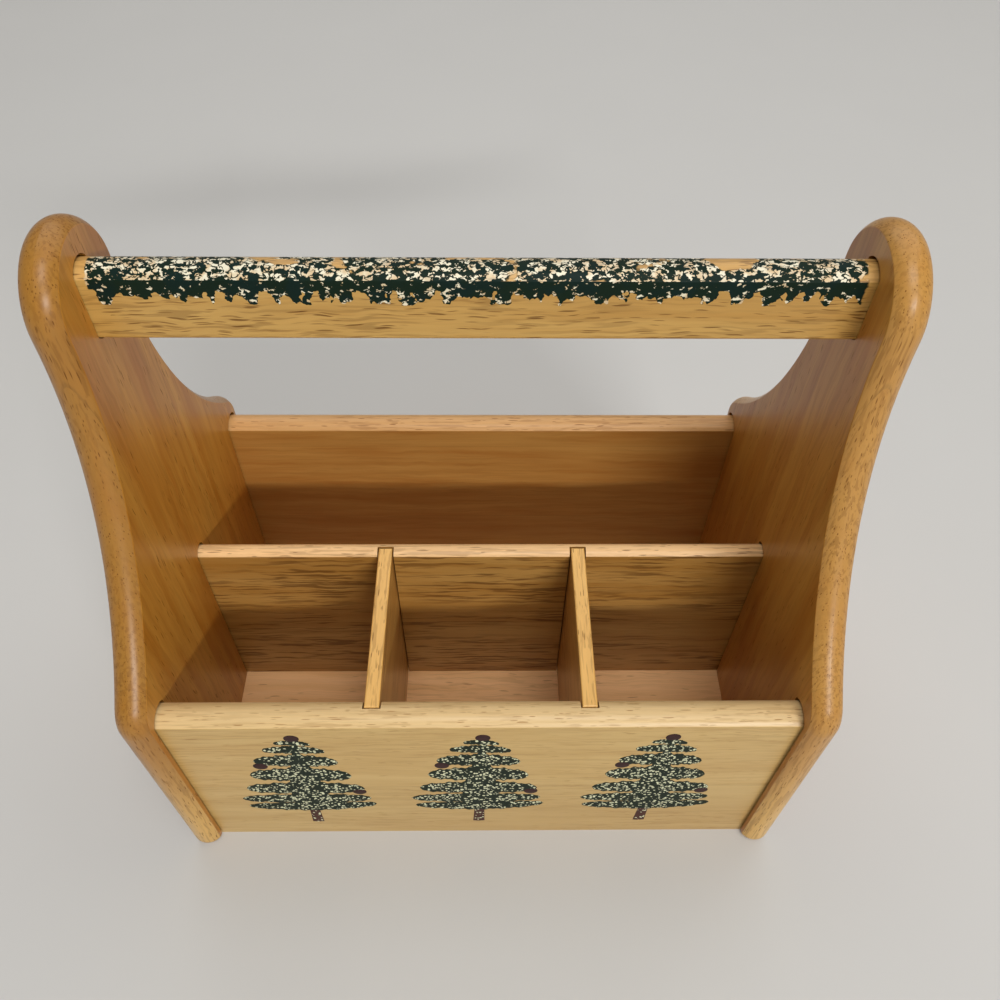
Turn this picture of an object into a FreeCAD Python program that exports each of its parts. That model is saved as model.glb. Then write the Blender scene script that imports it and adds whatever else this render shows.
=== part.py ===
"""Wooden table caddy for cutlery and napkins.

Two shaped ends carry a bar to lift it by. Three cross panels are let into housings in the ends,
a floor board runs in grooves at the bottom, and two thin dividers slide down into open-topped
grooves to part the front into three bays. The edges that show are worked to a shallow nose.

Millimetres. X runs along the bar, the front faces -Y and Z is up. The origin lies on the table,
under the middle of the caddy.
"""
import FreeCAD
import Part
import math
import os

from FreeCAD import Vector

# Shaped ends
inner_width = 250.0         # between the inner faces of the two ends
end_thickness = 12.0
end_depth = 179.6           # front edge to back edge
end_height = 279.1
head_radius = 25.2          # round head that holds the bar
shoulder_rise = 8.3         # the hollow sweep would meet the upright edge this far above the bays
shoulder_round = 16.5       # bend from the hollow sweep into the upright edge
foot_spare = 0.6            # the feet's corners are this much rounder than the nose is deep
foot_trim = 0.5             # taken off the nose under the feet, so that they stand flat

# Nosed edges
nose_share = 0.25           # how far a nose stands out beyond its corners, as a share of the thickness
nose_ease = 0.8             # radius that eases the corners beside a nose

# Front, back and middle panels
bay_height = 116.0          # top of the front panel, the middle panel and the dividers
back_rise = 3.0             # the back panel stands this far above the bays
panel_thickness = 11.4      # front and back panels
panel_recess = 6.0          # front and back panels stand this far inside the ends' edges
middle_thickness = 7.2
middle_shift = 0.5          # the middle panel stands this far behind the centre
housing_depth = 5.0         # how far the panels enter the ends
housing_clearance = 0.8     # dark line beside each panel where it enters an end
headroom = 0.8              # housings and mortises are cut this much taller again

# Floor board
floor_thickness = 6.0
floor_lift = 4.8            # underside of the floor above the table
floor_tongue = 4.0          # how far the floor enters the ends and the outer panels
floor_clearance = 0.3       # above the floor and at its edges, inside its grooves

# Lift-out dividers
divider_thickness = 6.1
divider_round = 0.8
divider_groove_depth = 4.4
divider_clearance = 0.55    # all round a divider in its grooves

# Carrying bar
bar_thickness = 12.0
bar_height = 28.4
bar_drop = 0.9              # middle of the bar below the middle of the round head
mortise_depth = 7.0
mortise_clearance = 0.35

# Places that follow from the sizes above
inner_face = inner_width / 2
outer_face = inner_face + end_thickness
half_depth = end_depth / 2
head_centre = end_height - head_radius
shoulder_height = bay_height + shoulder_rise
back_height = bay_height + back_rise
bar_bottom = head_centre - bar_drop - bar_height / 2
bar_top = bar_bottom + bar_height
front_face = -half_depth + panel_recess
front_inner_face = front_face + panel_thickness
back_face = half_depth - panel_recess
back_inner_face = back_face - panel_thickness
middle_front_face = middle_shift - middle_thickness / 2
middle_back_face = middle_shift + middle_thickness / 2
floor_top = floor_lift + floor_thickness
bay_width = (inner_width - 2 * divider_thickness) / 3
divider_place = (bay_width + divider_thickness) / 2
overrun = 1.0               # cutters reach this far past the face they open


def wire_through(stretches, place):
    """Closed wire of (start, through, end) stretches, straight where through is None.

    The stretches hold flat points, and place turns each one into a point in space.
    """
    edges = []
    for start, through, end in stretches:
        if through is None:
            edges.append(Part.LineSegment(place(*start), place(*end)).toShape())
        else:
            edges.append(Part.Arc(place(*start), place(*through), place(*end)).toShape())
    return Part.Wire(Part.__sortEdges__(edges))


def in_section(y, z):
    """Point of a section across the caddy."""
    return Vector(0, y, z)


def nose_arcs(half_thickness, clearance=0.0):
    """The three arcs of a nosed edge from face to face, as (across, depth) points.

    The crest lies at depth 0. The nose is one wide arc, and smaller arcs that touch it ease its
    corners into the faces. A clearance gives the same edge offset outwards.
    """
    rise = nose_share * 2 * half_thickness
    nose_radius = (half_thickness ** 2 + rise ** 2) / (2 * rise)
    span = nose_radius - nose_ease
    ease_across = half_thickness - nose_ease
    ease_radius = nose_ease + clearance
    ease_depth = nose_radius + clearance - math.sqrt(span ** 2 - ease_across ** 2)
    turn = math.asin(ease_across / span)

    def on_ease(angle):
        return (ease_across + ease_radius * math.sin(angle), ease_depth - ease_radius * math.cos(angle))

    def mirrored(point):
        return (-point[0], point[1])

    nose_end = on_ease(turn)
    middle = on_ease((turn + math.pi / 2) / 2)
    face = on_ease(math.pi / 2)
    return [
        (mirrored(face), mirrored(middle), mirrored(nose_end)),
        (mirrored(nose_end), (0.0, 0.0), nose_end),
        (nose_end, middle, face),
    ]


def board_outline(front, back, bottom, top, clearance=0.0, nosed_bottom=False):
    """Section of a board with a nosed top, or of its housing when a clearance is given."""
    centre = (front + back) / 2
    arcs = nose_arcs((back - front) / 2, clearance)
    upper = [tuple((centre + across, top + clearance - depth) for across, depth in arc) for arc in arcs]
    if nosed_bottom:
        lower = [tuple((centre - across, bottom - clearance + depth) for across, depth in arc) for arc in arcs]
    else:
        lower = [((back + clearance, bottom), None, (front - clearance, bottom))]
    back_side = (upper[-1][2], None, lower[0][0])
    front_side = (lower[-1][2], None, upper[0][0])
    return wire_through(upper + [back_side] + lower + [front_side], in_section)


def extruded(outline, x_from, x_to):
    """Solid with a section across the caddy, between two places along X."""
    face = Part.Face(outline)
    face.translate(Vector(x_from, 0, 0))
    return face.extrude(Vector(x_to - x_from, 0, 0))


def block(x_from, x_to, y_from, y_to, z_from, z_to):
    """Plain box between two places along each axis."""
    return Part.makeBox(x_to - x_from, y_to - y_from, z_to - z_from, Vector(x_from, y_from, z_from))


def end_outline():
    """Outline of an end: round head, hollow sweeps to the shoulders, upright edges, round feet.

    The sweep is the one arc that leaves the head upright and would pass through the shoulder.
    A smaller arc, tangent to the sweep and to the upright edge, bends the shoulder itself.
    The base runs below the table by the trim that is taken off it later.
    """
    reach = half_depth - head_radius
    drop = head_centre - shoulder_height
    sweep_radius = (reach ** 2 + drop ** 2) / (2 * reach)
    sweep_y = head_radius + sweep_radius

    # Centre of the shoulder's arc, touching the upright edge and the sweep
    soft_y = half_depth - shoulder_round
    soft_span = sweep_radius + shoulder_round
    soft_z = head_centre - math.sqrt(soft_span ** 2 - (sweep_y - soft_y) ** 2)
    to_soft = math.atan2(soft_z - head_centre, soft_y - sweep_y)

    # Centre of the foot's arc
    foot_radius = nose_arcs(end_thickness / 2)[0][0][1] + foot_spare
    foot_y = half_depth - foot_radius
    foot_z = foot_radius - foot_trim

    def on_sweep(angle):
        return (sweep_y + sweep_radius * math.cos(angle), head_centre + sweep_radius * math.sin(angle))

    def on_soft(angle):
        return (soft_y + shoulder_round * math.cos(angle), soft_z + shoulder_round * math.sin(angle))

    def on_foot(angle):
        return (foot_y + foot_radius * math.cos(angle), foot_z + foot_radius * math.sin(angle))

    # Angles as seen from the sweep's centre: minus pi is the head, to_soft is the shoulder
    half_sweep = (to_soft - math.pi) / 2
    soft_start = to_soft + math.pi

    right_side = [
        ((head_radius, head_centre), on_sweep(half_sweep), on_sweep(to_soft)),
        (on_sweep(to_soft), on_soft(soft_start / 2), on_soft(0.0)),
        (on_soft(0.0), None, on_foot(0.0)),
        (on_foot(0.0), on_foot(-math.pi / 4), (foot_y, -foot_trim)),
    ]

    def mirrored(point):
        return None if point is None else (-point[0], point[1])

    left_side = [tuple(mirrored(point) for point in stretch) for stretch in right_side]
    head = ((-head_radius, head_centre), (0.0, end_height), (head_radius, head_centre))
    base = ((-foot_y, -foot_trim), None, (foot_y, -foot_trim))
    return wire_through([head, base] + right_side + left_side, in_section)


def nose_waste(outline):
    """Cutter that noses the right end: the waste beyond the nose, carried round the outline."""
    half_thickness = end_thickness / 2
    arcs = nose_arcs(half_thickness)
    face_depth = arcs[0][0][1]
    outside = half_thickness + overrun
    corners = [
        arcs[-1][2], (outside, face_depth), (outside, -overrun),
        (-outside, -overrun), (-outside, face_depth), arcs[0][0],
    ]
    straights = [(start, None, end) for start, end in zip(corners, corners[1:])]
    mid_plane = inner_face + half_thickness

    def beside_head(across, depth):
        return Vector(mid_plane + across, head_radius - depth, head_centre)

    sweep = Part.BRepOffsetAPI.MakePipeShell(outline.translated(Vector(mid_plane, 0, 0)))
    sweep.setBiNormalMode(Vector(1, 0, 0))
    sweep.add(wire_through(arcs + straights, beside_head))
    sweep.build()
    sweep.makeSolid()
    return sweep.shape()


def housing(front, back, bottom, top):
    """Cutter for one panel's housing in the right end, opening on its inner face."""
    outline = board_outline(front, back, bottom, top + headroom, housing_clearance)
    return extruded(outline, inner_face - overrun, inner_face + housing_depth)


def mortise():
    """Cutter for the bar's blind mortise in the right end."""
    outline = board_outline(
        -bar_thickness / 2, bar_thickness / 2, bar_bottom, bar_top + headroom, mortise_clearance, True
    )
    return extruded(outline, inner_face - overrun, inner_face + mortise_depth)


def right_end():
    """Right end: nosed board with flat feet, housings, a floor groove and a blind mortise."""
    outline = end_outline()
    board = extruded(outline, inner_face, outer_face).cut(nose_waste(outline))
    floor_reach = floor_tongue + floor_clearance
    cutters = [
        block(inner_face - overrun, outer_face + overrun, -half_depth, half_depth, -end_height, 0.0),
        housing(front_face, front_inner_face, -overrun, bay_height),
        housing(back_inner_face, back_face, -overrun, back_height),
        housing(middle_front_face, middle_back_face, floor_top, bay_height),
        block(inner_face - overrun, inner_face + floor_reach, front_inner_face - floor_reach,
              back_inner_face + floor_reach, floor_lift, floor_top + floor_clearance),
        mortise(),
    ]
    return board.cut(cutters)


def left_end():
    """Left end: the right one mirrored."""
    return right_end().mirror(Vector(0, 0, 0), Vector(1, 0, 0))


def divider_grooves(y_from, y_to):
    """Two cutters for the dividers' grooves, open at the top."""
    half_width = divider_thickness / 2 + divider_clearance
    top = bay_height + overrun
    return [
        block(place - half_width, place + half_width, y_from, y_to, floor_top, top)
        for place in (-divider_place, divider_place)
    ]


def floor_groove(y_from, y_to):
    """Cutter for the floor's groove along a panel."""
    reach = inner_face + housing_depth + overrun
    return block(-reach, reach, y_from, y_to, floor_lift, floor_top + floor_clearance)


def cross_panel(front, back, bottom, top):
    """Uncut cross panel that fills its housings from end to end."""
    reach = inner_face + housing_depth
    return extruded(board_outline(front, back, bottom, top), -reach, reach)


def front_panel():
    """Front panel with the floor's groove and the front ends of the dividers' grooves."""
    board = cross_panel(front_face, front_inner_face, 0.0, bay_height)
    floor_cut = floor_groove(front_inner_face - floor_tongue - floor_clearance, front_inner_face + overrun)
    divider_cuts = divider_grooves(front_inner_face - divider_groove_depth, front_inner_face + overrun)
    return board.cut([floor_cut] + divider_cuts)


def middle_panel():
    """Middle panel, standing on the floor, with the rear ends of the dividers' grooves."""
    board = cross_panel(middle_front_face, middle_back_face, floor_top, bay_height)
    return board.cut(divider_grooves(middle_front_face - overrun, middle_front_face + divider_groove_depth))


def back_panel():
    """Back panel with the floor's groove."""
    board = cross_panel(back_inner_face, back_face, 0.0, back_height)
    return board.cut(floor_groove(back_inner_face - overrun, back_inner_face + floor_tongue + floor_clearance))


def floor_board():
    """Floor board, resting on the lower sides of its grooves."""
    reach = inner_face + floor_tongue
    return block(-reach, reach, front_inner_face - floor_tongue, back_inner_face + floor_tongue,
                 floor_lift, floor_top)


def divider(place):
    """Divider standing on the floor in its two grooves, with eased top edges."""
    front_end = front_inner_face - divider_groove_depth + divider_clearance
    rear_end = middle_front_face + divider_groove_depth - divider_clearance
    half_thickness = divider_thickness / 2
    board = block(place - half_thickness, place + half_thickness, front_end, rear_end, floor_top, bay_height)
    top_edges = [edge for edge in board.Edges if edge.BoundBox.ZMin > bay_height - divider_round]
    return board.makeFillet(divider_round, top_edges)


def carrying_bar():
    """Flat carrying bar, nosed above and below, let into both ends."""
    reach = inner_face + mortise_depth
    outline = board_outline(-bar_thickness / 2, bar_thickness / 2, bar_bottom, bar_top, nosed_bottom=True)
    return extruded(outline, -reach, reach)


pieces = {
    "left_end_panel": left_end(),
    "right_end_panel": right_end(),
    "front_panel": front_panel(),
    "middle_panel": middle_panel(),
    "back_panel": back_panel(),
    "floor_board": floor_board(),
    "left_divider": divider(-divider_place),
    "right_divider": divider(divider_place),
    "carrying_bar": carrying_bar(),
}

os.makedirs("parts", exist_ok=True)
for name, shape in pieces.items():
    shape.exportStep(os.path.join("parts", name + ".step"))
    print(name, "valid" if shape.isValid() else "INVALID", len(shape.Solids), round(shape.Volume))
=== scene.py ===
"""Looks of a wooden table caddy: lacquered rubberwood, a sponged carrying bar and printed firs.

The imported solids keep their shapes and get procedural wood. The firs on the front panel are thin
films of ink, worked out from formulas. Sizes are in metres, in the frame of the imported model.
"""

import math

import bmesh
import bpy
import numpy as np
from mathutils import Matrix, Vector


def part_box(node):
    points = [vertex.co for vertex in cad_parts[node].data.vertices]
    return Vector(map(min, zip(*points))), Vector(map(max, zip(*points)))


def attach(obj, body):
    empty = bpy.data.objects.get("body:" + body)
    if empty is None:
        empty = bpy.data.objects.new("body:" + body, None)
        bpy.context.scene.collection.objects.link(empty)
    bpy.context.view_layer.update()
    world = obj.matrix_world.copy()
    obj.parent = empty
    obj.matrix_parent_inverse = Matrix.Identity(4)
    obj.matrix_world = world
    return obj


bl_info = {
    "name": "Wooden Table Caddy",
    "version": (1, 0, 0),
    "blender": (4, 5, 0),
    "location": "3D View > Sidebar > Caddy",
    "description": "Dresses the packed table caddy in lacquered wood, sponged paint and printed firs",
    "category": "Object",
}

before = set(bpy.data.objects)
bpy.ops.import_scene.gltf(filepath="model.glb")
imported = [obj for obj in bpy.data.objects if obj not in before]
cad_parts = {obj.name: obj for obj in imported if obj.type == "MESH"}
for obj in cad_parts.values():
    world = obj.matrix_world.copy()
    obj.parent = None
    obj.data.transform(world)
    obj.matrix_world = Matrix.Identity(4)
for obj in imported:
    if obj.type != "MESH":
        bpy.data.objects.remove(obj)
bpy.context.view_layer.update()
panel_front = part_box("front_panel")[0].y
bar_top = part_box("carrying_bar")[1].z
inner_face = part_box("right_end_panel")[0].x

X, Y, Z = range(3)
MM = 0.001


def srgb(red, green, blue):
    """Linear colour of a display colour written from 0 to 255."""
    shares = (red / 255, green / 255, blue / 255)
    return tuple(s / 12.92 if s <= 0.04045 else ((s + 0.055) / 1.055) ** 2.4 for s in shares)


# Settings a user would change

def colour_setting(name, description, default):
    """A colour swatch for a property group."""
    return bpy.props.FloatVectorProperty(
        name=name, description=description, subtype="COLOR", size=3, min=0.0, max=1.0, default=default
    )


def length_setting(name, description, default):
    """A length in metres for a property group."""
    return bpy.props.FloatProperty(
        name=name, description=description, subtype="DISTANCE", unit="LENGTH", default=default
    )


def share_setting(name, description, default):
    """A share from 0 to 1 for a property group."""
    return bpy.props.FloatProperty(
        name=name, description=description, subtype="FACTOR", min=0.0, max=1.0, default=default
    )


def angle_setting(name, description, default):
    """An angle in radians for a property group."""
    return bpy.props.FloatProperty(
        name=name, description=description, subtype="ANGLE", unit="ROTATION", default=default
    )


def power_setting(name, description, default):
    """A lamp's power in watts for a property group."""
    return bpy.props.FloatProperty(
        name=name, description=description, min=0.0, unit="POWER", default=default
    )


def wood_group(name, pale, deep, edge, pore, pores, grade, streaks, strip, seam):
    """Makes the property group of one wood finish, with its own defaults.

    Colours are display colours from 0 to 255, and lengths are in millimetres.
    """
    settings = {
        "pale": colour_setting("Pale wood", "Colour of the paler bands of grain", srgb(*pale)),
        "deep": colour_setting("Deep wood", "Colour of the darker bands of grain", srgb(*deep)),
        # The edge colour is partly the board's own worn edge tone and partly painted light and sheen,
        # which makes the top faces paler as if lit from above
        "edge": colour_setting("Worn edge", "Colour of the board's edges, rubbed paler", srgb(*edge)),
        "pore": colour_setting("Pores", "Colour of the short dark pores", srgb(*pore)),
        "pores": share_setting("Pore share", "How many of the possible pores show", pores),
        "grade": length_setting("Pore spacing", "Spacing of the pores across the grain", grade * MM),
        "streaks": share_setting("Streaks", "How strongly dark wavy streaks mark the wood", streaks),
        "strip": length_setting("Strip", "Width of the strips the board is glued up from", strip * MM),
        "seam": length_setting("Seam", "Place of one glue line across the board", seam * MM),
    }
    return type(name, (bpy.types.PropertyGroup,), {"__annotations__": settings})


# The left end's edge colour is darker than the right end's: partly a different board, partly painted
# shade, as the light falls from the right.
LeftEndWood = wood_group(
    "LeftEndWood", pale=(202, 143, 56), deep=(180, 114, 30), edge=(154, 107, 40), pore=(98, 56, 20),
    pores=0.10, grade=0.6, streaks=0.18, strip=52, seam=26
)
RightEndWood = wood_group(
    "RightEndWood", pale=(199, 142, 60), deep=(178, 114, 36), edge=(185, 136, 66), pore=(104, 60, 22),
    pores=0.10, grade=0.6, streaks=0.18, strip=52, seam=26
)
FrontWood = wood_group(
    "FrontWood", pale=(200, 167, 103), deep=(188, 151, 86), edge=(219, 187, 134), pore=(146, 102, 50),
    pores=0.13, grade=0.6, streaks=0.30, strip=110, seam=55
)
# The middle panel's pale and deep colours are darker and more saturated than its own wood: painted shade
# and bounce light inside the bays. Its very pale edge colour paints the light on its top face.
InnerWood = wood_group(
    "InnerWood", pale=(181, 137, 71), deep=(161, 112, 46), edge=(238, 194, 138), pore=(84, 46, 16),
    pores=0.06, grade=0.7, streaks=0.90, strip=75, seam=60
)
BackWood = wood_group(
    "BackWood", pale=(187, 136, 68), deep=(169, 111, 47), edge=(218, 167, 107), pore=(124, 76, 34),
    pores=0.05, grade=0.7, streaks=0.16, strip=56, seam=49
)
# The floor board's colours are far paler than its own wood: painted light, standing in for the light that
# reaches the floors of the bays.
FloorWood = wood_group(
    "FloorWood", pale=(243, 193, 137), deep=(230, 177, 118), edge=(243, 193, 137), pore=(150, 100, 62),
    pores=0.12, grade=0.7, streaks=0.25, strip=60, seam=30
)
DividerWood = wood_group(
    "DividerWood", pale=(209, 161, 84), deep=(190, 138, 63), edge=(238, 187, 107), pore=(98, 58, 22),
    pores=0.04, grade=0.6, streaks=0.60, strip=200, seam=200
)
BarWood = wood_group(
    "BarWood", pale=(195, 155, 84), deep=(181, 136, 65), edge=(204, 158, 90), pore=(86, 48, 15),
    pores=0.56, grade=0.8, streaks=0.46, strip=200, seam=200
)


class SpongePaint(bpy.types.PropertyGroup):
    """The paint dabbed on the carrying bar."""
    green: colour_setting("Green", "Colour of the sponged paint", srgb(16, 34, 22))
    teal: colour_setting("Teal", "Bluer colour the paint drifts to", srgb(13, 34, 29))
    cream: colour_setting("Cream", "Thin pale coat in the sponge's holes", srgb(230, 223, 196))
    reach: length_setting("Reach", "How far the paint comes down the sides of the bar", 9.8 * MM)
    bare: length_setting("Bare ends", "Unpainted length at each end of the bar", 3.0 * MM)


class FirPrint(bpy.types.PropertyGroup):
    """The row of firs printed on the front panel."""
    green: colour_setting("Green", "Colour of the boughs", srgb(20, 37, 23))
    dots: colour_setting("Dots", "Colour of the sponge's dots in the boughs", srgb(226, 227, 190))
    bauble: colour_setting("Baubles", "Colour of the baubles", srgb(64, 36, 36))
    trunk: colour_setting("Trunk", "Colour of the trunks", srgb(84, 48, 40))
    spacing: length_setting("Spacing", "Distance from fir to fir", 75.4 * MM)
    centre: length_setting("Centre", "Place of the middle fir along the panel", -1.6 * MM)
    height: length_setting("Height", "From the foot of the trunk to the top bauble", 90.5 * MM)
    foot: length_setting("Foot", "Height of the trunk's foot on the panel", 13.4 * MM)
    reach: length_setting("Reach", "Length of the lowest boughs on the left", 30.5 * MM)
    ink: length_setting("Ink", "How far the ink stands proud of the wood", 0.08 * MM)


class Studio(bpy.types.PropertyGroup):
    """The floor, the lamps and the camera."""
    floor: colour_setting("Floor", "Colour of the floor", srgb(204, 202, 198))
    sky: bpy.props.FloatProperty(
        name="Sky", description="Strength of the even light from all round", min=0.0, default=0.16
    )
    strip_power: power_setting("Strip lamp", "Power of the long lamp at the front right", 63.0)
    front_power: power_setting("Front lamp", "Power of the wide lamp overhead, in front", 20.0)
    back_power: power_setting("Back lamp", "Power of the wide lamp overhead, behind", 30.0)
    place: bpy.props.FloatVectorProperty(
        name="Camera", description="Place of the camera", subtype="TRANSLATION", unit="LENGTH",
        default=(0.00258, -0.23385, 0.43368)
    )
    heading: angle_setting("Heading", "Turn of the camera about the upright", -0.0221)
    tilt: angle_setting("Tilt", "How far the camera looks down", 0.8808)
    roll: angle_setting("Roll", "Turn of the picture", -0.0166)
    lens: bpy.props.FloatProperty(
        name="Lens", description="Focal length, on a sensor 36 mm wide", subtype="DISTANCE_CAMERA",
        unit="CAMERA", default=31.91
    )


WOODS = {
    "left_end": LeftEndWood,
    "right_end": RightEndWood,
    "front": FrontWood,
    "inner": InnerWood,
    "back": BackWood,
    "floor": FloorWood,
    "dividers": DividerWood,
    "bar": BarWood,
}


class CaddyLooks(bpy.types.PropertyGroup):
    """All settings of the caddy's looks."""
    __annotations__ = {
        **{name: bpy.props.PointerProperty(type=group) for name, group in WOODS.items()},
        "paint": bpy.props.PointerProperty(type=SpongePaint),
        "firs": bpy.props.PointerProperty(type=FirPrint),
        "studio": bpy.props.PointerProperty(type=Studio),
    }


# Shader expressions

class Wire:
    """A shader socket in Python expressions: each operator on it adds a Math node."""

    def __init__(self, tree, socket=None):
        self.tree = tree
        self.socket = socket

    def node(self, kind, settings=None, sockets=None, out=0):
        """Adds a node, makes its settings, fills or links its sockets and returns one output."""
        made = self.tree.nodes.new(kind)
        for name, value in (settings or {}).items():
            setattr(made, name, value)
        for name, value in (sockets or {}).items():
            if isinstance(value, Wire):
                self.tree.links.new(value.socket, made.inputs[name])
            else:
                made.inputs[name].default_value = value
        return Wire(self.tree, made.outputs[out] if made.outputs else None)

    def pick(self, out):
        """Another output of the same node."""
        return Wire(self.tree, self.socket.node.outputs[out])

    def math(self, operation, *values):
        """A Math node with this socket as its first value."""
        return self.node("ShaderNodeMath", {"operation": operation}, dict(enumerate((self, *values))))

    def __add__(self, other):
        return self.math("ADD", other)

    def __sub__(self, other):
        return self.math("SUBTRACT", other)

    def __rsub__(self, other):
        return self.node("ShaderNodeMath", {"operation": "SUBTRACT"}, {0: other, 1: self})

    def __mul__(self, other):
        return self.math("MULTIPLY", other)

    def __truediv__(self, other):
        return self.math("DIVIDE", other)

    def __gt__(self, other):
        return self.math("GREATER_THAN", other)

    def __lt__(self, other):
        return self.math("LESS_THAN", other)

    __radd__ = __add__
    __rmul__ = __mul__

    def smooth(self, low, high):
        """0 below low and 1 above high, or the other way round where low is above high."""
        return self.node(
            "ShaderNodeMapRange", {"interpolation_type": "SMOOTHSTEP"},
            {"Value": self, "From Min": low, "From Max": high}
        )

    def between(self, first, second):
        """The first colour where this is 0, turning to the second one where it is 1."""
        return self.node("ShaderNodeMix", {"data_type": "RGBA"}, {0: self, 6: first, 7: second}, out=2)

    def shaded(self, value):
        """This colour made lighter or darker."""
        return self.node("ShaderNodeHueSaturation", sockets={"Value": value, "Color": self})

    def pulled(self, scales):
        """This place with its three axes scaled apart."""
        return self.node("ShaderNodeVectorMath", {"operation": "MULTIPLY"}, {0: self, 1: scales})

    def moved(self, shift):
        """This place moved by another vector."""
        return self.node("ShaderNodeVectorMath", {"operation": "ADD"}, {0: self, 1: shift})

    def noise(self, scale, detail=2.0, distortion=0.0):
        """Cloudy values round 0.5 at this place; its Color holds three of them."""
        return self.node(
            "ShaderNodeTexNoise", sockets={
                "Vector": self, "Scale": scale, "Detail": detail, "Distortion": distortion
            }
        )

    def cells(self, scale):
        """Distance to the nearest of scattered points, in cells; its Color is the cell's own."""
        return self.node("ShaderNodeTexVoronoi", sockets={"Vector": self, "Scale": scale})

    def parts(self):
        """The three numbers of a place or a colour."""
        first = self.node("ShaderNodeSeparateXYZ", sockets={0: self})
        return first, first.pick(1), first.pick(2)


def colour(value):
    """A colour setting as a shader colour."""
    return (*value, 1.0)


def new_material(name):
    """An empty node material, as the start of its expressions."""
    material = bpy.data.materials.new(name)
    material.use_nodes = True
    material.node_tree.nodes.clear()
    return material, Wire(material.node_tree)


# Wood

FIGURE_PULL = 14.0        # bands of grain are this many times longer along the grain
FIBRE_PULL = 60.0         # the same for the fine fibres
STREAK_PULL = 17.0        # the same for the dark streaks
PORE_PULL = 12.0          # the same for the pores
CROWD_PULL = 3.0          # the same for the places where pores and streaks crowd
BROAD_BANDS = 60.0        # clouds to the metre in the broad bands of grain
NARROW_BANDS = 260.0      # the same in the narrow bands
FIBRES = 1300.0           # the same in the fibres
STREAKS = 820.0           # the same in the streaks
CROWDS = 38.0             # the same in the crowds
SWAY = 9.0 * MM           # how far the grain wanders across the board
RIPPLE = 2.4 * MM         # how far the streaks ripple
EDGE_STREAKS = 0.40       # how strongly streaks mark the edges
EDGE_PORES = 0.13         # share of pores that edges show on top of the board's own
PALE_FOOT_HEIGHT = 120 * MM  # edges turn paler from here down
PALE_FOOT_SHARE = 0.8        # how far they have turned to the paler colour at the foot
# paler colour the ends' edges turn to towards the foot
PALE_FOOT = srgb(222, 178, 99)
GRAIN_DEPTH = 0.15 * MM   # how deep open grain dents the lacquer
COAT_ROUGHNESS = 0.34
COAT_IOR = 1.40


def along(axis, pull):
    """Scales that pull a pattern out along one axis."""
    return tuple(1 / pull if each == axis else 1.0 for each in (X, Y, Z))


class Figure:
    """Colour, pores and fibre of one glued-up board.

    Strips are numbered floor((across - seam) / width), and each starts its figure at a place of its
    own. Pores are cells pulled out along the grain: a pore shows near a cell's point where the
    cell's random number is under the share, and crowds vary with a slow cloud. Streaks are a finer
    cloud, pulled along the grain and rippled across it. Edges are where the surface doesn't face
    along the board's thickness; they show more pores and turn to the edge colour, which is partly
    the board's own edge tone and partly painted light and sheen on the lit top faces. The ends'
    edges get paler towards the foot.
    """

    def __init__(self, start, wood, grain, across):
        self.place = start.node("ShaderNodeTexCoord", out="Object")
        facing = self.place.pick("Normal").parts()[X + Y + Z - grain - across]
        edges = facing.math("ABSOLUTE").smooth(0.95, 0.82)

        strip_place = (self.place.parts()[across] - wood.seam) / wood.strip
        number = strip_place.math("FLOOR")
        seam = (strip_place - number).smooth(0.006, 0.002)
        chance = start.node("ShaderNodeTexWhiteNoise", {"noise_dimensions": "1D"}, {"W": number})
        sway = (self.place.pulled(along(grain, 4.0)).noise(24.0, 1.0) - 0.5) * SWAY
        ripple = (self.place.pulled(along(grain, 1.5)).noise(130.0, 1.0) - 0.5) * RIPPLE
        shift = start.node(
            "ShaderNodeCombineXYZ", sockets={grain: chance * 3.0, across: chance * 0.4 + sway + ripple}
        )
        spot = self.place.moved(shift)

        figure = spot.pulled(along(grain, FIGURE_PULL))
        bands = figure.noise(BROAD_BANDS, 3.0, 0.6) * 0.6 + figure.noise(NARROW_BANDS, 2.0) * 0.4
        self.fibre = spot.pulled(along(grain, FIBRE_PULL)).noise(FIBRES, 3.0)

        crowd = spot.pulled(along(grain, CROWD_PULL)).noise(CROWDS, 1.0)
        streaks = spot.pulled(along(grain, STREAK_PULL)).noise(STREAKS, 2.0).smooth(0.50, 0.60)
        strength = wood.streaks + edges * (EDGE_STREAKS - wood.streaks)
        self.streaks = streaks * crowd.smooth(0.25, 0.60) * strength

        cells = spot.pulled(along(grain, PORE_PULL)).cells(1 / wood.grade)
        size, luck, depth = cells.pick("Color").parts()
        radius = size * 0.20 + 0.16
        share = crowd * (2.0 * wood.pores) + edges * (wood.pores + EDGE_PORES)
        self.pores = cells.smooth(radius + 0.10, radius - 0.06) * (share > luck) * (depth * 0.5 + 0.5)

        tone = bands.smooth(0.34, 0.66).between(colour(wood.deep), colour(wood.pale))
        # Edges and top faces turn to the edge colour: partly worn edge tone, partly painted light and
        # sheen on the top faces
        worn_and_lit = (edges * (0.55 + bands * 0.5)).between(tone, colour(wood.edge))
        # Edges turn to a paler colour towards the foot
        low = self.place.parts()[Z].smooth(PALE_FOOT_HEIGHT, 0.0) * edges
        rubbed = (low * PALE_FOOT_SHARE).between(worn_and_lit, colour(PALE_FOOT))
        shade = 0.95 + chance * 0.10 + (self.fibre - 0.5) * 0.24 - seam * 0.18
        streaked = (self.streaks * 0.75).between(rubbed.shaded(shade), colour(wood.pore))
        self.colour = (self.pores * 0.80).between(streaked, colour(wood.pore))


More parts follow.
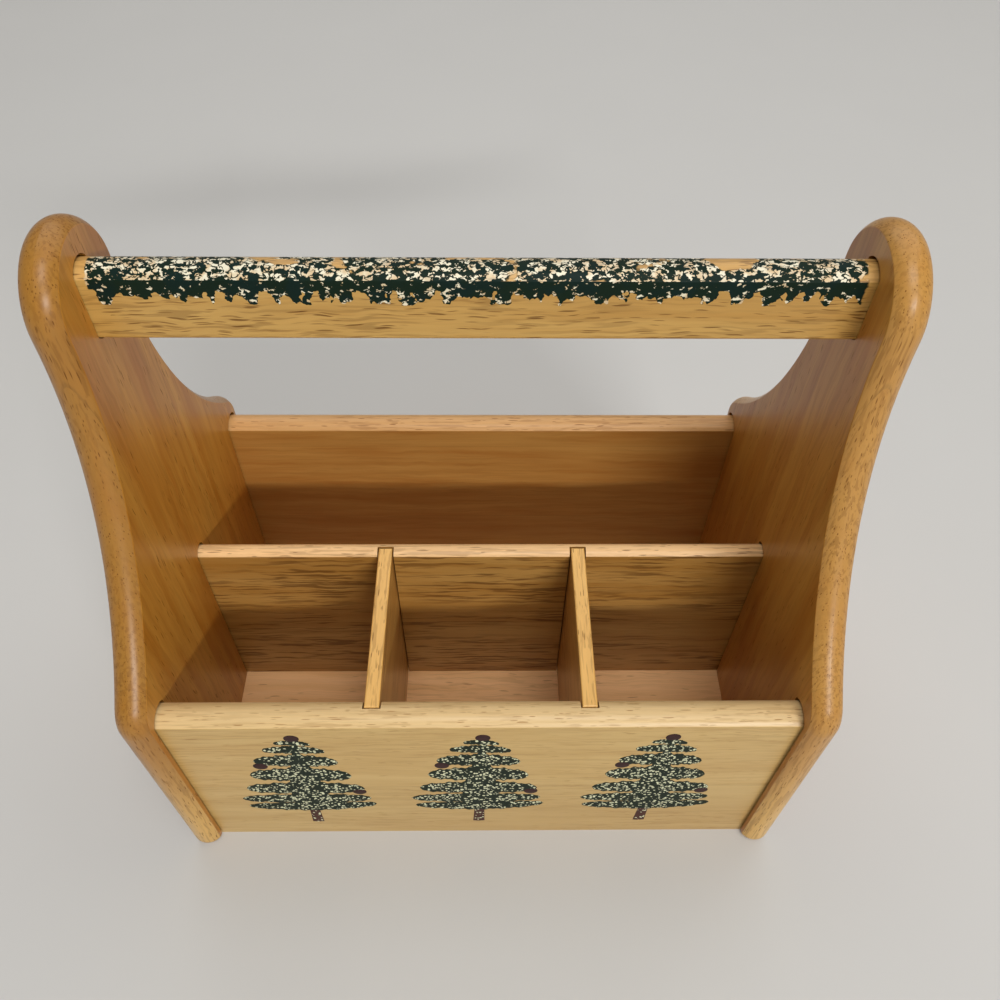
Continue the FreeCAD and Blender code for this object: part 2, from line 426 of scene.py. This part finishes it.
def lacquered(start, base, pores, streaks, fibre, paint=0.0):
    """Clear lacquer over wood or paint: a smooth coat that thins over open grain and paint."""
    height = fibre * 0.4 - streaks * 0.4 - pores
    bump = start.node("ShaderNodeBump", sockets={
        "Strength": 0.3, "Distance": GRAIN_DEPTH, "Height": height
    })
    shader = start.node("ShaderNodeBsdfPrincipled", sockets={
        "Base Color": base,
        "Roughness": 0.5 + fibre * 0.1 + pores * 0.2,
        "Specular IOR Level": 0.08,
        "Coat Weight": 1 - pores * 0.6 - streaks * 0.5 - paint * 0.92,
        "Coat Roughness": COAT_ROUGHNESS,
        "Coat IOR": COAT_IOR,
        "Normal": bump,
    })
    start.node("ShaderNodeOutputMaterial", sockets={"Surface": shader})


def wood_material(name, wood, grain, across):
    """Lacquered wood with its grain along one axis and its strips side by side along another."""
    material, start = new_material(name)
    figure = Figure(start, wood, grain, across)
    lacquered(start, figure.colour, figure.pores, figure.streaks, figure.fibre)
    return material


def dress(node, material):
    """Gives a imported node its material."""
    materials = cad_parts[node].data.materials
    materials.clear()
    materials.append(material)


# Sponged paint on the carrying bar

SPONGE_GRAIN = 620.0        # clouds to the metre in the sponge's print
VEIN_GRAIN = 558.0          # the same in the veins across its holes
PATCH_GRAIN = 95.0          # the same in the patches of bare wood
LOBE_GRAIN = 200.0          # the same along the paint's ragged lower line
SPONGE_PULL = 1.5           # its holes are this much longer along the bar
CURL = 1.5 * MM             # how far its marks are pushed out of shape
CLOSED_LEVEL = 0.70         # holes open over this level of the cloud, at the corner below the nose
NOSE_OPENING = 0.198        # how much lower that level is on the nose
SHORTEST = 0.65             # the lower line stands at least at this share of the paint's reach
LOBES = 0.6                 # and its lobes hang down by up to this share more
LINE_BLUR = 0.05 * MM       # half the width of the soft rim along that line
END_BLUR = 0.3 * MM         # the same at the bar's ends


def sponged_bar(wood, paint):
    """Bar wood with paint dabbed over its top, broken up like the holes of a sponge.

    Holes are where a fine cloud is over a level: low on the upper nose, so that half of it is open,
    high at the corner below, and lower again down the sides. Thin veins, where a second cloud is
    close to its mean, cross the holes. Down the sides the paint ends on a ragged line at
    reach * (0.65 + 0.6 * cloud) under the crest, and slow clouds leave larger patches of bare wood
    on the nose.
    """
    material, start = new_material("bar_wood")
    figure = Figure(start, wood, X, Z)
    place = figure.place
    below = bar_top - place.parts()[Z]
    upward = place.pick("Normal").parts()[Z]
    top = upward.smooth(0.40, 0.60)
    sides = upward.smooth(0.25, 0.05)

    push = place.noise(700.0, 1.5).pick("Color").moved((-0.5, -0.5, -0.5)).pulled((CURL, CURL, CURL))
    dabs = place.moved(push)
    print_place = dabs.pulled((1 / SPONGE_PULL, 1.0, 1.0))
    lower = below.smooth(0.3 * paint.reach, 1.2 * paint.reach)
    level = CLOSED_LEVEL - top * NOSE_OPENING - sides * (lower * 0.10 + 0.05)
    open_cloud = print_place.noise(SPONGE_GRAIN, 2.0) - level
    veins = (print_place.noise(VEIN_GRAIN, 1.0) - 0.48).math("ABSOLUTE").smooth(0.034, 0.048)
    hole = open_cloud.smooth(-0.012, 0.012) * veins
    thin = dabs.noise(260.0, 1.0).smooth(0.35, 0.62)
    patch = dabs.pulled((0.6, 1.0, 1.0)).noise(PATCH_GRAIN, 3.0).smooth(0.60, 0.63) * top

    ragged = dabs.pulled((1.0, 0.0, 0.6)).noise(LOBE_GRAIN, 2.0)
    lowest = ragged.smooth(0.30, 0.70) * (paint.reach * LOBES) + paint.reach * SHORTEST
    above = (lowest - below).smooth(-LINE_BLUR, LINE_BLUR)
    half = inner_face - paint.bare
    inside = dabs.parts()[X].math("ABSOLUTE").smooth(half + END_BLUR, half - END_BLUR)

    painted = above * inside
    solid = painted * (1 - hole) * (1 - patch)
    creamy = painted * hole * (1 - patch) * (thin * 0.6 + 0.4)
    green = dabs.noise(120.0).smooth(0.42, 0.62).between(colour(paint.green), colour(paint.teal))
    under = creamy.between(figure.colour, colour(paint.cream))
    open_grain = 1 - painted
    lacquered(
        start, solid.between(under, green), figure.pores * open_grain, figure.streaks * open_grain,
        figure.fibre, solid
    )
    return material


# Printed firs

TIERS = 7           # tiers of boughs on a fir
RINGS = 33          # rings along a film of ink
SIDES = 12          # points round a ring
LEAN = 0.024        # the firs lean this much to the right


def closed_films(centre_x, centre_z, half_x, half_z, depth):
    """Closed lens-shaped films of ink on the front panel: vertices, faces and nearness to the rim.

    Each film is an ellipse carried along a spine: at turn t of a ring it stands at
    centre + half * cos(t) in the panel's plane and depth * sin(t) out of it. Arrays have one row
    for each film and one column for each ring; the first and last rings are the film's two poles.
    """
    turn = np.linspace(0.0, 2 * np.pi, SIDES, endpoint=False)
    count, rings = centre_x.shape
    inner = slice(1, rings - 1)
    xs = centre_x[:, inner, None] + half_x[:, inner, None] * np.cos(turn)
    zs = centre_z[:, inner, None] + half_z[:, inner, None] * np.cos(turn)
    ys = panel_front - depth[:, inner, None] * np.sin(turn)
    around = np.stack([xs, ys, zs], axis=-1).reshape(count, -1, 3)
    rim = np.tile(np.abs(np.cos(turn)), (count, rings - 2))
    rim = np.pad(rim, ((0, 0), (1, 1)), constant_values=1.0)
    flat = np.full_like(centre_x, panel_front)
    spine = np.stack([centre_x, flat, centre_z], axis=-1)
    points = np.concatenate([spine[:, :1], around, spine[:, -1:]], axis=1)

    ring, side = np.meshgrid(np.arange(rings - 3), np.arange(SIDES), indexing="ij")
    after = (side + 1) % SIDES
    here = 1 + ring * SIDES
    quads = np.stack([here + side, here + after, here + SIDES + after, here + SIDES + side], axis=-1)
    last = points.shape[1] - 1
    end_ring = last - SIDES
    first_fan = np.stack([np.zeros(SIDES, int), 1 + after[0], 1 + side[0]], axis=-1)
    last_fan = np.stack([np.full(SIDES, last), end_ring + side[0], end_ring + after[0]], axis=-1)

    shift = (np.arange(count) * (last + 1))[:, None, None]
    faces = [
        face for group in (quads.reshape(-1, 4), first_fan, last_fan)
        for face in (group[None] + shift).reshape(-1, group.shape[1]).tolist()
    ]
    return points.reshape(-1, 3), faces, rim.ravel()


def film_piece(name, points, faces, rim, material):
    """A piece on the front panel from closed films, with its faces turned outwards."""
    mesh = bpy.data.meshes.new(name)
    mesh.from_pydata(points.tolist(), [], faces)
    mesh.attributes.new("rim", "FLOAT", "POINT").data.foreach_set("value", rim)
    work = bmesh.new()
    work.from_mesh(mesh)
    bmesh.ops.recalc_face_normals(work, faces=work.faces)
    work.to_mesh(mesh)
    work.free()
    mesh.materials.append(material)
    piece = bpy.data.objects.new(name, mesh)
    bpy.context.scene.collection.objects.link(piece)
    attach(piece, "caddy")


def fir_places(firs):
    """Places of the firs' trunks along the panel."""
    return firs.centre + firs.spacing * np.array([-1.0, 0.0, 1.0])


def bough_films(firs):
    """Two boughs for each tier of each fir, and a core that fills its middle.

    With t from 0 at the top tier to 1 at the lowest, a bough leaves the trunk at
    height * (0.965 - 0.75 * (t ** 1.1 - 0.05 * sin(2 * pi * t))), reaches out by
    reach * (0.25 + 0.75 * sin(pi / 2 * t) ** 1.1) and droops by height * (0.02 - 0.05 * t ** 4)
    with the square of the way out u, less on the left. Its half width is
    height * (0.028 + 0.026 * t + 0.040 * sin(pi * t) ** 2), times
    (1 - 0.5 * u ** 2) * (1 - (2 * u - 1) ** 8) ** 0.5, with a ripple for the ragged print. The core
    climbs from 0.15 to 0.95 of the height. With u from 0 at its foot to 1 at its top, its half width
    is reach * (0.04 + 0.34 * (1 - u)) * sin(pi * u) ** 0.4.
    """
    rng = np.random.default_rng(7)
    out = np.linspace(0.0, 1.0, RINGS)
    tier = np.linspace(0.0, 1.0, TIERS)
    swell = np.sin(np.pi / 2 * tier)
    root = firs.height * (0.965 - 0.75 * (tier ** 1.1 - 0.05 * np.sin(2 * np.pi * tier)))
    reach = firs.reach * (0.25 + 0.75 * swell ** 1.1)
    droop = firs.height * (0.02 - 0.05 * tier ** 4)
    thick = firs.height * (0.028 + 0.026 * tier + 0.040 * np.sin(np.pi * tier) ** 2)
    lens = (1 - 0.5 * out ** 2) * np.sqrt(1 - (2 * out - 1) ** 8)
    overlap = 0.10 * firs.reach
    rows = []
    for side, share, fall in ((-1.0, 1.0, 0.4), (1.0, 0.92, 1.1)):
        length = share * reach * rng.uniform(0.95, 1.04, TIERS)
        start = LEAN * root - side * overlap
        wave = rng.uniform(0.0, 2 * np.pi, (2, TIERS, 1))
        rough = 1 + 0.09 * np.sin(23 * out + wave[0]) + 0.08 * np.sin(51 * out + wave[1])
        centre_x = start[:, None] + side * np.outer(length + overlap, out)
        centre_z = firs.foot + root[:, None] - fall * np.outer(droop, out ** 2)
        half = thick[:, None] * lens * rough
        rows.append((centre_x, centre_z, np.zeros_like(half), half))
    climb = firs.height * (0.15 + 0.80 * out)
    width = firs.reach * (0.04 + 0.34 * (1 - out)) * np.sin(np.pi * out).clip(0.0, 1.0) ** 0.4
    core = (LEAN * climb, firs.foot + climb, width, np.zeros_like(width))
    rows.append(tuple(part[None] for part in core))
    centre_x, *others = (np.concatenate(part) for part in zip(*rows))
    places = fir_places(firs)
    shifted = np.concatenate([place + centre_x for place in places])
    return (shifted, *(np.tile(part, (len(places), 1)) for part in others))


def bauble_films(firs):
    """Three round baubles for each fir: one at the tip, one at the left and one low at the right.

    Their places are given in shares of the reach and the height. With a from -1 to 1 across a
    bauble, its half height is radius * (1 - a ** 2) ** 0.5.
    """
    radius = firs.height * 0.034
    offsets = np.array([[0.075, 1.005], [-0.49, 0.712], [0.76, 0.405]]) * [firs.reach, firs.height]
    across = np.linspace(-1.0, 1.0, RINGS)
    places = (fir_places(firs)[:, None, None] * [1.0, 0.0] + [0.0, firs.foot] + offsets).reshape(-1, 2)
    centre_x = places[:, :1] + radius * across
    centre_z = np.broadcast_to(places[:, 1:], centre_x.shape)
    half = np.broadcast_to(radius * np.sqrt(1 - across ** 2), centre_x.shape)
    return centre_x, centre_z, np.zeros_like(half), half


def trunk_films(firs):
    """One short trunk under each fir: its half width is reach * (0.088 - 0.014 * u) at u of its height."""
    up = np.linspace(0.0, 1.0, RINGS)
    trunk = fir_places(firs)[:, None]
    climb = firs.height * 0.18 * up
    centre_x = trunk + LEAN * climb
    centre_z = np.broadcast_to(firs.foot + climb, centre_x.shape)
    half = np.broadcast_to(firs.reach * (0.088 - 0.014 * up), centre_x.shape)
    return centre_x, centre_z, half, np.zeros_like(half)


def printed_ink(name, ink, dots, cell, share):
    """Printed ink, with dots of pale undercoat left between dabs of colour.

    A dot stands round a cell's point where the cell's random number is under the share; the rim
    of the print stays dark.
    """
    material, start = new_material(name)
    flat = start.node("ShaderNodeTexCoord", out="Object").pulled((1.0, 0.0, 1.0))
    push = flat.noise(700.0, 1.0).pick("Color").moved((-0.5, -0.5, -0.5)).pulled((MM, 0.0, MM))
    cells = flat.moved(push).cells(1 / cell)
    size, luck, tone = cells.pick("Color").parts()
    edge = size * 0.20 + 0.27
    rim = start.node("ShaderNodeAttribute", {"attribute_name": "rim"}, out="Fac")
    dot = cells.smooth(edge + 0.04, edge - 0.04) * (luck < share) * rim.smooth(0.94, 0.80)
    cloud = flat.noise(420.0, 2.0)
    dark = (cloud * 0.6 + tone * 0.4).between(colour(ink), colour([part * 0.45 for part in ink]))
    shader = start.node("ShaderNodeBsdfPrincipled", sockets={
        "Base Color": (dot * 0.92).between(dark, colour(dots)),
        "Roughness": 0.5 + cloud * 0.1,
        "Specular IOR Level": 0.1,
        "Coat Weight": 0.04 + cloud * 0.08,
        "Coat Roughness": COAT_ROUGHNESS,
        "Coat IOR": COAT_IOR,
    })
    start.node("ShaderNodeOutputMaterial", sockets={"Surface": shader})
    return material


# Stage

# Places of the lamps, and their lengths and widths
STRIP_PLACE = (1.1, -3.0, 1.84)
STRIP_SIZE = (1.4, 0.10)
FRONT_PLACE = (0.2, -0.8, 2.2)
FRONT_SIZE = (1.0, 1.0)
BACK_PLACE = (0.3, 1.3, 2.2)
BACK_SIZE = (3.4, 2.4)
TARGET = (0.0, 0.0, 0.12)   # the lamps face this place
SKY_COLOUR = (1.0, 0.99, 0.97, 1.0)
HUB_RADIUS = 0.02           # the floor's innermost ring
FLAT_RADIUS = 2.0           # the floor is level out to here
RIM_RADIUS = 4.6
RIM_HEIGHT = 2.3
FLAT_RINGS = 10
RIM_RINGS = 24
FLOOR_SIDES = 96
SENSOR = 36.0               # width of the camera's sensor in millimetres


def studio_floor(studio):
    """A round floor whose rim sweeps up: height is 0 out to the flat's edge, then a parabola."""
    flat = np.linspace(HUB_RADIUS, FLAT_RADIUS, FLAT_RINGS)
    rim = np.linspace(FLAT_RADIUS, RIM_RADIUS, RIM_RINGS)[1:]
    radius = np.concatenate([flat, rim])
    angle = np.linspace(0.0, 2 * np.pi, FLOOR_SIDES, endpoint=False)
    height = RIM_HEIGHT * ((radius - FLAT_RADIUS).clip(0.0) / (RIM_RADIUS - FLAT_RADIUS)) ** 2
    grid = np.stack(np.broadcast_arrays(
        radius[:, None] * np.cos(angle), radius[:, None] * np.sin(angle), height[:, None]
    ), axis=-1)
    ring, side = np.meshgrid(np.arange(len(radius) - 1), np.arange(FLOOR_SIDES), indexing="ij")
    after = (side + 1) % FLOOR_SIDES
    here = ring * FLOOR_SIDES
    quads = np.stack([
        here + side, here + FLOOR_SIDES + side, here + FLOOR_SIDES + after, here + after
    ], axis=-1).reshape(-1, 4)
    mesh = bpy.data.meshes.new("studio_floor")
    mesh.from_pydata(grid.reshape(-1, 3).tolist(), [], quads.tolist() + [list(range(FLOOR_SIDES))])
    mesh.polygons.foreach_set("use_smooth", np.ones(len(mesh.polygons), bool))

    material, start = new_material("studio_floor")
    cloud = start.node("ShaderNodeTexCoord", out="Object").noise(9.0)
    dull = colour([part * 0.97 for part in studio.floor])
    shader = start.node("ShaderNodeBsdfPrincipled", sockets={
        "Base Color": cloud.between(colour(studio.floor), dull),
        "Roughness": 0.65,
        "Specular IOR Level": 0.3,
    })
    start.node("ShaderNodeOutputMaterial", sockets={"Surface": shader})
    mesh.materials.append(material)
    floor = bpy.data.objects.new("studio_floor", mesh)
    bpy.context.scene.collection.objects.link(floor)


def lamp(name, power, place, size):
    """A rectangular lamp with its long side level, facing the caddy."""
    light = bpy.data.lights.new(name, "AREA")
    light.shape = "RECTANGLE"
    light.size, light.size_y = size
    light.energy = power
    holder = bpy.data.objects.new(name, light)
    holder.location = place
    holder.rotation_mode = "QUATERNION"
    holder.rotation_quaternion = (Vector(TARGET) - Vector(place)).to_track_quat("-Z", "Y")
    holder.visible_camera = False
    bpy.context.scene.collection.objects.link(holder)


def sky(strength):
    """Even light from all round."""
    world = bpy.data.worlds.new("studio_sky")
    world.use_nodes = True
    background = world.node_tree.nodes["Background"]
    background.inputs["Color"].default_value = SKY_COLOUR
    background.inputs["Strength"].default_value = strength
    bpy.context.scene.world = world


def camera(studio):
    """The camera at the photograph's viewing angle."""
    data = bpy.data.cameras.new("camera")
    data.lens = studio.lens
    data.sensor_width = SENSOR
    data.clip_start = 0.01
    holder = bpy.data.objects.new("camera", data)
    turn = Matrix.Rotation(studio.heading, 4, "Z")
    tilt = Matrix.Rotation(math.pi / 2 - studio.tilt, 4, "X")
    roll = Matrix.Rotation(-studio.roll, 4, "Z")
    holder.matrix_world = Matrix.Translation(studio.place) @ turn @ tilt @ roll
    bpy.context.scene.collection.objects.link(holder)
    bpy.context.scene.camera = holder


# Operators

class CADDY_OT_dress_ends(bpy.types.Operator):
    """Give both shaped ends their honey lacquer, with the grain upright"""
    bl_idname = "caddy.dress_ends"
    bl_label = "Dress Ends"

    def execute(self, context):
        looks = context.scene.caddy
        dress("left_end_panel", wood_material("left_end_wood", looks.left_end, Z, Y))
        dress("right_end_panel", wood_material("right_end_wood", looks.right_end, Z, Y))
        return {"FINISHED"}


class CADDY_OT_dress_panels(bpy.types.Operator):
    """Give the front, middle and back panels their wood, with the grain from end to end"""
    bl_idname = "caddy.dress_panels"
    bl_label = "Dress Panels"

    def execute(self, context):
        looks = context.scene.caddy
        dress("front_panel", wood_material("front_wood", looks.front, X, Z))
        dress("middle_panel", wood_material("inner_wood", looks.inner, X, Z))
        dress("back_panel", wood_material("back_wood", looks.back, X, Z))
        return {"FINISHED"}


class CADDY_OT_dress_floor(bpy.types.Operator):
    """Give the floor board its pinkish wood, made paler than its own as painted light in the bays"""
    bl_idname = "caddy.dress_floor"
    bl_label = "Dress Floor"

    def execute(self, context):
        dress("floor_board", wood_material("floor_wood", context.scene.caddy.floor, X, Y))
        return {"FINISHED"}


class CADDY_OT_dress_dividers(bpy.types.Operator):
    """Give both lift-out dividers their wood, with the grain from front to back"""
    bl_idname = "caddy.dress_dividers"
    bl_label = "Dress Dividers"

    def execute(self, context):
        material = wood_material("divider_wood", context.scene.caddy.dividers, Y, Z)
        dress("left_divider", material)
        dress("right_divider", material)
        return {"FINISHED"}


class CADDY_OT_paint_bar(bpy.types.Operator):
    """Give the carrying bar its wood and its sponged paint"""
    bl_idname = "caddy.paint_bar"
    bl_label = "Paint Bar"

    def execute(self, context):
        looks = context.scene.caddy
        dress("carrying_bar", sponged_bar(looks.bar, looks.paint))
        return {"FINISHED"}


class CADDY_OT_print_firs(bpy.types.Operator):
    """Print the row of firs on the front panel"""
    bl_idname = "caddy.print_firs"
    bl_label = "Print Firs"

    def execute(self, context):
        firs = context.scene.caddy.firs
        # Each print: its films, its layer of ink, its colour, and the spacing and share of its dots
        for name, films, layer, ink, cell, share in (
            ("fir_trunks", trunk_films, 0.6, firs.trunk, 1.5 * MM, 0.70),
            ("fir_boughs", bough_films, 1.0, firs.green, 1.4 * MM, 0.94),
            ("fir_baubles", bauble_films, 1.6, firs.bauble, 2.0 * MM, 0.0),
        ):
            centre_x, centre_z, half_x, half_z = films(firs)
            depth = np.minimum(half_x + half_z, firs.ink * layer)
            points, faces, rim = closed_films(centre_x, centre_z, half_x, half_z, depth)
            film_piece(name, points, faces, rim, printed_ink(name, ink, firs.dots, cell, share))
        return {"FINISHED"}


class CADDY_OT_set_stage(bpy.types.Operator):
    """Set up the floor, the lamps and the camera"""
    bl_idname = "caddy.set_stage"
    bl_label = "Set Stage"

    def execute(self, context):
        studio = context.scene.caddy.studio
        studio_floor(studio)
        lamp("strip_lamp", studio.strip_power, STRIP_PLACE, STRIP_SIZE)
        lamp("front_lamp", studio.front_power, FRONT_PLACE, FRONT_SIZE)
        lamp("back_lamp", studio.back_power, BACK_PLACE, BACK_SIZE)
        sky(studio.sky)
        camera(studio)
        context.scene.view_settings.view_transform = "Standard"
        return {"FINISHED"}


STEPS = (
    CADDY_OT_dress_ends, CADDY_OT_dress_panels, CADDY_OT_dress_floor, CADDY_OT_dress_dividers,
    CADDY_OT_paint_bar, CADDY_OT_print_firs, CADDY_OT_set_stage,
)


class CADDY_PT_looks(bpy.types.Panel):
    """Lists the steps that dress the caddy"""
    bl_idname = "CADDY_PT_looks"
    bl_label = "Table Caddy"
    bl_space_type = "VIEW_3D"
    bl_region_type = "UI"
    bl_category = "Caddy"

    def draw(self, context):
        for step in STEPS:
            self.layout.operator(step.bl_idname)


CLASSES = (*WOODS.values(), SpongePaint, FirPrint, Studio, CaddyLooks, *STEPS, CADDY_PT_looks)


def register():
    for each in CLASSES:
        bpy.utils.register_class(each)
    bpy.types.Scene.caddy = bpy.props.PointerProperty(type=CaddyLooks)


def unregister():
    del bpy.types.Scene.caddy
    for each in reversed(CLASSES):
        bpy.utils.unregister_class(each)


def main():
    """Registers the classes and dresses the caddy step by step."""
    register()
    for step in STEPS:
        area, name = step.bl_idname.split(".")
        getattr(getattr(bpy.ops, area), name)()


if __name__ == "__main__":
    main()
